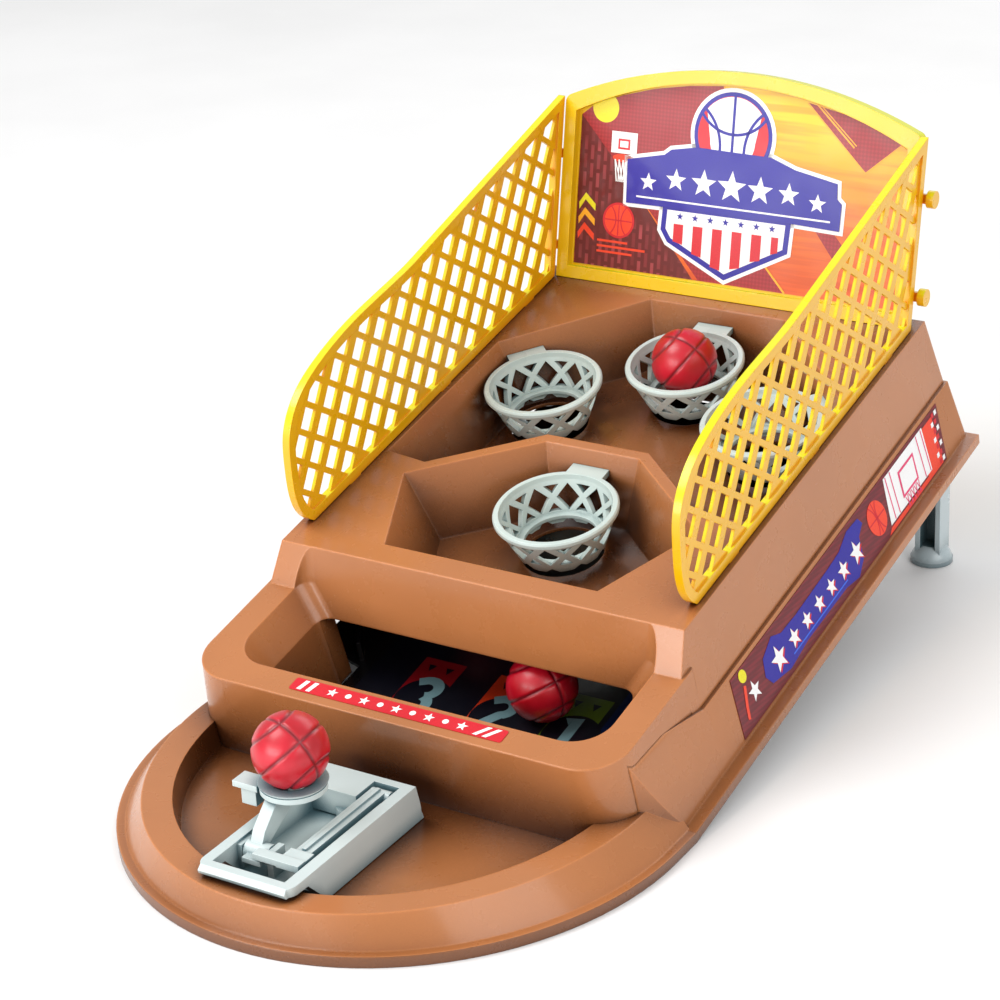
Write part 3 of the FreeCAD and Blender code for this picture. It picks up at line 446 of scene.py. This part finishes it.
class Sheet:
    """The face of a printed sheet. Art is placed in mm, and corner is the place of its low corner."""

    def __init__(self, node, along, up, corner):
        self.along = Vector(along).normalized()
        self.up = Vector(up).normalized()
        self.normal = self.along.cross(self.up).normalized()
        co = [v.co for v in nodes[node].data.vertices]
        centre = sum(co, Vector()) / len(co)
        outwards = Vector((centre.x, -1.0 if abs(centre.x) < CENTRED else 0.0, 0.5))
        if self.normal.dot(outwards) < 0:
            self.normal.negate()
        self.origin = (self.along * min(c.dot(self.along) for c in co)
                       + self.up * min(c.dot(self.up) for c in co)
                       + self.normal * max(c.dot(self.normal) for c in co))
        self.corner = corner
        self.shapes = []

    def draw(self, material, outline, layer):
        """A flat shape. Higher layers lie over lower ones."""
        self.shapes.append((material, outline, layer))

    def point(self, u, v, layer):
        """Where a place on the sheet, in mm along and up, is in the frame."""
        return (self.origin + self.along * ((u - self.corner[0]) * MM)
                + self.up * ((v - self.corner[1]) * MM) + self.normal * (layer * LAYER))

    def finish(self, name, slot):
        """One flat mesh of all the shapes, higher layers nearer the viewer."""
        bm = bmesh.new()
        used = []
        for material, outline, layer in self.shapes:
            if material not in used:
                used.append(material)
            face = bm.faces.new([bm.verts.new(self.point(u, v, layer)) for u, v in outline])
            face.material_index = used.index(material)
            face.normal_update()
            if face.normal.dot(self.normal) < 0:
                face.normal_flip()
        bmesh.ops.triangulate(bm, faces=bm.faces)
        mesh = bpy.data.meshes.new(name)
        bm.to_mesh(mesh)
        bm.free()
        for material in used:
            mesh.materials.append(material)
        piece = bpy.data.objects.new(name, mesh)
        bpy.context.scene.collection.objects.link(piece)
        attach(piece, "machine")


def arc(x, y, radius, start, end, count=16):
    """Points along an arc between two angles in degrees."""
    angles = [math.radians(start + (end - start) * i / count) for i in range(count + 1)]
    return [(x + radius * math.cos(a), y + radius * math.sin(a)) for a in angles]


def disc(x, y, radius, count=48, squash=1.0):
    """Outline of a disc, or of an ellipse where squash is less than 1."""
    angles = [2 * math.pi * i / count for i in range(count)]
    return [(x + radius * math.cos(a), y + squash * radius * math.sin(a)) for a in angles]


def slab(x0, y0, x1, y1):
    """Outline of the rectangle between two opposite corners."""
    return [(x0, y0), (x1, y0), (x1, y1), (x0, y1)]


def star(x, y, radius, turn=90.0):
    """Five-pointed star whose first point is at the angle turn, in degrees."""
    points = []
    for i in range(10):
        r = radius if i % 2 == 0 else radius * STAR_INNER
        a = math.radians(turn + 36 * i)
        points.append((x + r * math.cos(a), y + r * math.sin(a)))
    return points


def band(points, width):
    """Outline of a line of even width through the points."""
    left, right = [], []
    for i, (x, y) in enumerate(points):
        x0, y0 = points[max(i - 1, 0)]
        x1, y1 = points[min(i + 1, len(points) - 1)]
        length = math.hypot(x1 - x0, y1 - y0)
        nx, ny = -(y1 - y0) / length * width / 2, (x1 - x0) / length * width / 2
        left.append((x + nx, y + ny))
        right.append((x - nx, y - ny))
    return left + right[::-1]


def grow(points, distance):
    """Outline moved outwards by distance; the points run anticlockwise."""
    moved = []
    for i in range(len(points)):
        (x0, y0), (x1, y1), (x2, y2) = points[i - 1], points[i], points[(i + 1) % len(points)]
        a, b = math.hypot(x1 - x0, y1 - y0), math.hypot(x2 - x1, y2 - y1)
        n1, n2 = ((y1 - y0) / a, (x0 - x1) / a), ((y2 - y1) / b, (x1 - x2) / b)
        scale = distance / max(0.35, 1 + n1[0] * n2[0] + n1[1] * n2[1])
        moved.append((x1 + (n1[0] + n2[0]) * scale, y1 + (n1[1] + n2[1]) * scale))
    return moved


def ball_seams(x, y, radius, bend, spread):
    """Lines of a small drawn ball: two arcs from its sides, an upright and a level."""
    offset = 7.6
    return (arc(x - offset, y, bend, -spread, spread), arc(x + offset, y, bend, 180 - spread, 180 + spread),
            [(x, y - radius), (x, y + radius)], [(x - radius, y), (x + radius, y)])


def backboard_art():
    """Maroon fields over the yellow court, three chevrons, a small hoop, a small ball and the badge."""
    up = (0, math.sin(BOARD_TILT), math.cos(BOARD_TILT))
    sheet = Sheet("backboard_sticker", (1, 0, 0), up, corner=(-60.9, 5.2))
    sheet.draw(WEAVE, [(-60.9, 57.0), (-56.0, 60.9), (-45.0, 65.1), (-33.0, 68.4), (-20.0, 70.6),
                       (-7.0, 71.8), (13.0, 13.0), (-11.7, 5.2), (-41.0, 36.0)], 1)
    sheet.draw(DASHES, [(-60.9, 5.2), (-14.0, 5.2), (-41.0, 36.4), (-60.9, 57.0)], 1)
    sheet.draw(WEAVE, [(-14.0, 5.25), (20.5, 5.25), (13.0, 13.4), (-11.6, 5.5)], 1)
    sheet.draw(AMBER_INK, band([(-7.0, 71.8), (13.3, 13.0), (20.8, 5.25)], 0.7), 2)
    sheet.draw(WEAVE, [(24.3, 69.4), (46.4, 48.6), (60.5, 61.0), (57.2, 60.9), (41.0, 66.2)], 1)
    sheet.draw(AMBER_INK, band([(24.0, 69.3), (46.4, 48.6), (60.7, 61.0)], 0.5), 2)
    sheet.draw(AMBER_INK, band([(27.4, 69.2), (41.8, 56.4)], 0.55), 2)
    sheet.draw(AMBER_INK, band([(28.8, 69.0), (42.6, 57.0)], 0.35), 2)
    sheet.draw(WEAVE, [(29.2, 28.8), (37.9, 18.2), (41.6, 22.6), (36.8, 27.6)], 1)
    sheet.draw(LEMON_INK, disc(-51.6, 60.2, 5.1), 2)
    for i, material in enumerate((LEMON_INK, AMBER_INK, ORANGE_INK)):
        y = 27.6 - 5.2 * i
        sheet.draw(material, [(-59.8, y - 3.4), (-57.5, y + 0.2), (-53.4, y - 3.4), (-53.4, y - 1.0),
                              (-57.5, y + 2.6), (-60.0, y - 1.0)], 2)
    small_hoop(sheet, -43.6, 43.6)
    x, y = -44.0, 22.0
    sheet.draw(RED_INK, disc(x, y, 6.2), 3)
    sheet.draw(ORANGE_INK, disc(x, y, 5.4), 4)
    for seam in ball_seams(x, y, 5.3, bend=6.6, spread=48):
        sheet.draw(RED_INK, band(seam, 0.5), 5)
    for i, length in enumerate((14.0, 19.0, 12.0)):
        y = 10.6 + 1.9 * i
        sheet.draw(ORANGE_INK, band([(-52.0, y), (-52.0 + length, y)], 0.8), 3)
    badge(sheet, -2.4, 55.6)
    sheet.finish("backboard_art", "board_print")


def small_hoop(sheet, x, y):
    """Drawn backboard, ring and net. The ring's middle is at x, y."""
    sheet.draw(WHITE_INK, slab(x - 5.0, y + 9.0, x + 5.0, y + 1.6), 2)
    sheet.draw(RED_INK, slab(x - 2.3, y + 6.6, x + 2.3, y + 3.0), 3)
    sheet.draw(WHITE_INK, slab(x - 1.6, y + 5.9, x + 1.6, y + 3.7), 4)
    sheet.draw(ORANGE_INK, disc(x, y, 4.2, count=40, squash=0.32), 3)
    for i in range(5):
        top = -3.2 + 1.6 * i
        for layer, slant in ((3, 0.8), (4, -0.8)):
            cord = [(x + top, y - 0.6), (x + top * 0.45 + slant, y - 8.2)]
            sheet.draw(WHITE_INK, band(cord, 0.45), layer)


def badge(sheet, x, y):
    """Ball with its middle at x, y, over a plain star banner and a striped shield."""
    shield = [(-27.0, 30.0), (-27.4, 21.0), (-24.6, 17.0), (-2.1, 6.6), (20.8, 18.6), (21.4, 30.0)]
    banner = [(-41.4, 28.6), (-27.0, 28.8), (21.3, 28.9), (39.0, 28.4), (39.2, 37.4), (37.4, 39.0),
              (37.1, 44.0), (21.5, 46.8), (12.3, 50.0), (-15.4, 50.4), (-25.1, 48.6), (-27.6, 46.6),
              (-41.8, 43.6)]
    for outline, spread in ((disc(x, y, 14.6), 1.4), (banner, 1.3), (shield, 1.3)):
        sheet.draw(WHITE_INK, grow(outline, spread), 3)
    sheet.draw(BLUE_INK, disc(x, y, 14.6), 4)
    sheet.draw(BLUE_INK, shield, 4)
    sheet.draw(WHITE_INK, grow(shield, -1.9), 5)
    pitch, width, last_width = 7.4, 3.7, 2.6
    for i in range(6):
        left = -22.4 + pitch * i
        right = left + (width if i < 5 else last_width)
        feet = [8.9 + 0.47 * abs(left + across) for across in (4.0, 5.8)]
        sheet.draw(RED_INK, [(left, feet[0]), (right, feet[1]), (right, 23.6), (left, 23.6)], 6)
    for i in range(7):
        sheet.draw(BLUE_INK, star(-20.2 + 5.8 * i, 26.3, 1.35), 6)
    sheet.draw(RED_INK, disc(x, y, 13.2), 5)
    sheet.draw(WHITE_INK, arc(x, y, 13.0, 38, 142) + arc(x, y - 2.0, 8.4, 180, 360), 6)
    for seam in ([(x, y - 13.4), (x, y + 13.4)], arc(x, y + 15.0, 14.6, 216, 324),
                 arc(x - 21.5, y - 5.0, 17.0, -24, 52), arc(x + 21.5, y - 5.0, 17.0, 204, 128)):
        sheet.draw(BLUE_INK, band(seam, 1.0), 7)
    sheet.draw(BLUE_INK, banner, 8)
    for i, size in enumerate((3.3, 4.0, 4.9, 5.6, 4.9, 4.0, 3.3)):
        sheet.draw(WHITE_INK, star(-33.2 + 10.6 * i, 38.4 if abs(i - 3) < 3 else 36.6, size), 9)
    sheet.draw(WHITE_INK, band([(-37.5, 31.3), (35.5, 31.2)], 0.6), 9)


def side_art(side):
    """Skirt strip. Art runs to the rear along the skirt, and down it from its top edge."""
    run = math.hypot(SKIRT_OUT, SKIRT_DROP)
    down = (side * SKIRT_OUT / run, SKIRT_DROP / run * math.sin(TILT), -SKIRT_DROP / run * math.cos(TILT))
    name = "side_sticker_right" if side > 0 else "side_sticker_left"
    sheet = Sheet(name, DECK_UP, down, corner=(14.0, 1.4))
    blob = [(47.0, 16.8), (60.0, 15.6), (88.0, 16.0), (96.0, 17.6), (102.0, 14.6), (104.6, 8.2),
            (109.2, 6.0), (107.8, 3.4), (100.0, 3.0), (92.0, 5.4), (84.0, 5.8), (60.0, 6.2),
            (50.0, 5.8), (45.0, 3.6), (37.2, 6.2), (34.6, 11.0), (36.5, 14.6)]
    sheet.draw(SKY_INK, grow(blob, 0.7), 1)
    sheet.draw(BLUE_INK, blob, 2)
    for u, size in ((44.0, 4.4), (54.6, 3.3), (63.6, 3.0), (72.4, 3.0), (81.2, 3.0), (90.2, 3.3),
                    (100.0, 4.0)):
        sheet.draw(RED_INK, star(u + 0.5, 11.5, size, turn=-90), 3)
        sheet.draw(WHITE_INK, star(u, 10.8, size, turn=-90), 4)
    sheet.draw(SKY_INK, band([(51.0, 14.4), (90.0, 14.4)], 0.5), 3)
    sheet.draw(ORANGE_INK, disc(117.2, 9.6, 5.7), 2)
    for seam in ball_seams(117.2, 9.6, 5.5, bend=7.2, spread=44):
        sheet.draw(RED_INK, band(seam, 0.45), 3)
    leaning_board(sheet)
    pitch, lean = 2.3, 0.44
    for row in range(7):
        for column in range(2):
            u = 167.4 - lean * pitch * row + pitch * column - (1.1 if row % 2 else 0)
            v = 2.4 + pitch * row
            sheet.draw(WHITE_INK if (row + column) % 2 else RED_INK,
                       [(u, v), (u + 1.7, v), (u + 1.2, v + 1.4), (u - 0.5, v + 1.4)], 2)
    sheet.draw(LEMON_INK, disc(25.6, 3.9, 2.0), 2)
    sheet.draw(WHITE_INK, star(27.8, 10.6, 3.4, turn=-90), 2)
    sheet.draw(ORANGE_INK, band([(24.6, 6.6), (21.4, 12.0), (19.8, 15.4)], 1.3), 2)
    sheet.finish(name.replace("sticker", "art"), "side_print")


def leaning_board(sheet):
    """White backboard of a skirt strip, with pink lines and a net, over an orange flash."""
    sheet.draw(ORANGE_INK, [(153.0, 3.0), (167.5, 3.0), (163.0, 18.0), (119.5, 18.0), (122.0, 16.6),
                            (152.0, 16.6)], 1)
    sheet.draw(WHITE_INK, [(128.6, 2.4), (159.6, 2.4), (155.4, 16.0), (122.4, 16.0)], 2)
    for u in (128.0, 131.4, 152.6, 156.4):
        sheet.draw(PINK_INK, band([(u + 1.9, 2.6), (u - 1.9, 15.8)], 0.55), 3)
    sheet.draw(PINK_INK, [(137.2, 5.4), (149.4, 5.4), (146.6, 13.6), (134.4, 13.6)], 3)
    sheet.draw(WHITE_INK, [(138.0, 6.2), (148.2, 6.2), (145.8, 12.8), (135.6, 12.8)], 4)
    for i in range(5):
        u = 135.6 + 2.2 * i
        sheet.draw(PINK_INK, band([(u, 13.8), (u + 0.9, 17.6)], 0.4), 3)
        sheet.draw(PINK_INK, band([(u + 1.6, 13.8), (u - 0.2, 17.6)], 0.4), 4)


def rim_art():
    """Slanted bars at both ends of the rim's strip, and stars and dots between them."""
    sheet = Sheet("rim_sticker", (1, 0, 0), DECK_UP, corner=(-36.6, -42.2))
    width, low, high = 1.5, -41.7, -37.5
    for u in (-33.6, -30.4, 28.4, 31.6):
        lean = 1.6 if u > 0 else 0.5
        sheet.draw(WHITE_INK, [(u - lean, low), (u - lean + width, low), (u + lean + width, high),
                               (u + lean, high)], 1)
    for i in range(9):
        u = -22.4 + 5.6 * i
        sheet.draw(WHITE_INK, star(u, -39.7, 1.9) if i % 2 == 0 else disc(u, -39.6, 1.0, count=24), 1)
    sheet.finish("rim_art", "rim_print")


def numeral(number, x, y, size):
    """Centre lines of a rounded block numeral."""
    r = size * 0.25
    upper = [(x - r * 1.1, y + size * 0.38)] + arc(x, y + r, r, 115, -75, 10)
    if number == 3:
        return [upper, arc(x, y - r, r, 75, -115, 10) + [(x - r * 1.1, y - size * 0.38)]]
    if number == 2:
        foot = y - size * 0.46
        return [upper + [(x - r, foot)], [(x - r * 1.2, foot), (x + r * 1.2, foot)]]
    return [[(x - r * 0.8, y + size * 0.3), (x, y + size * 0.46), (x, y - size * 0.5)]]


def lane_art():
    """Three lanes, each with a dark disc and the score of its hole, and a navy edge at the right."""
    sheet = Sheet("lane_sticker", (1, 0, 0), DECK_UP, corner=(-48.0, -18.0))
    for x, number, material in ((-26.0, 3, SHADED_LANE_RED), (1.5, 2, SHADED_LANE_ORANGE), (27.0, 1, SHADED_LANE_GREEN)):
        sheet.draw(material, slab(x - 7.5, -12.0, x + 7.5, 20.0), 1)
        sheet.draw(BLACK_INK, disc(x + 2.0, 1.5, 9.4), 2)
        for i, line in enumerate(numeral(number, x + 1.0, 2.5, 15.0)):
            sheet.draw(LANE_TEAL, band(line, 3.6), 3 + 0.2 * i)
        for side in (-3.2, 3.2):
            sheet.draw(BLACK_INK, [(x + side - 1.4, 17.0), (x + side + 1.4, 17.0), (x + side, 13.8)], 2)
    sheet.draw(NAVY_INK, slab(36.5, -17.0, 47.0, 34.0), 1)
    sheet.finish("lane_art", "lane_print")


backboard_art()
side_art(1)
side_art(-1)
rim_art()
lane_art()


# ---------------------------------------------------------------- stage, light and camera

FLOOR_HALF = 4.0
FLOOR_GAP = 0.0001         # the floor lies this far under the feet
SKY_STRENGTH = 0.58

mesh = bpy.data.meshes.new("floor")
mesh.from_pydata([(x * FLOOR_HALF, y * FLOOR_HALF, 0) for x, y in ((-1, -1), (1, -1), (1, 1), (-1, 1))], [],
                 [(0, 1, 2, 3)])
mesh.materials.append(floor_paper("floor_paper"))
floor = bpy.data.objects.new("floor", mesh)
bpy.context.scene.collection.objects.link(floor)
floor.location.z = cad_box[0].z - FLOOR_GAP


def area_light(name, position, aim, size, power):
    """Rectangular light of a size in metres and a power in watts, turned to face its aim."""
    data = bpy.data.lights.new(name, "AREA")
    data.shape = "RECTANGLE"
    data.size, data.size_y = size
    data.energy = power
    light = bpy.data.objects.new(name, data)
    bpy.context.scene.collection.objects.link(light)
    light.location = position
    light.rotation_euler = (Vector(aim) - Vector(position)).to_track_quat("-Z", "Y").to_euler()


world = bpy.data.worlds.new("studio")
world.use_nodes = True
sky = world.node_tree.nodes["Background"].inputs
sky["Color"].default_value = (1.0, 1.0, 1.0, 1.0)
sky["Strength"].default_value = SKY_STRENGTH
bpy.context.scene.world = world
area_light("key", (-0.6, -0.5, 1.2), (0, 0, 0.06), (0.7, 0.7), power=10.5)
area_light("fill", (1.1, -0.4, 0.75), (0, 0, 0.06), (1.0, 0.8), power=6.0)
area_light("front", (-0.3, -1.2, 0.35), (0, 0, 0.04), (0.9, 0.4), power=7.5)
area_light("back", (0.1, 1.1, 0.9), (0, 0.05, 0.08), (1.2, 0.5), power=4.0)

bpy.context.scene.view_settings.view_transform = "Standard"
camera_data = bpy.data.cameras.new("camera")
camera_data.lens, camera_data.sensor_width = LENS, SENSOR_WIDTH
camera_data.clip_start, camera_data.clip_end = 0.01, 20.0
camera = bpy.data.objects.new("camera", camera_data)
bpy.context.scene.collection.objects.link(camera)
backwards = (CAMERA_AT - CAMERA_AIM).normalized()
right = (CAMERA_RIGHT - backwards * CAMERA_RIGHT.dot(backwards)).normalized()
upwards = backwards.cross(right)
turned = Matrix((right, upwards, backwards)).transposed().to_4x4()
camera.matrix_world = Matrix.Translation(CAMERA_AT) @ turned
bpy.context.scene.camera = camera
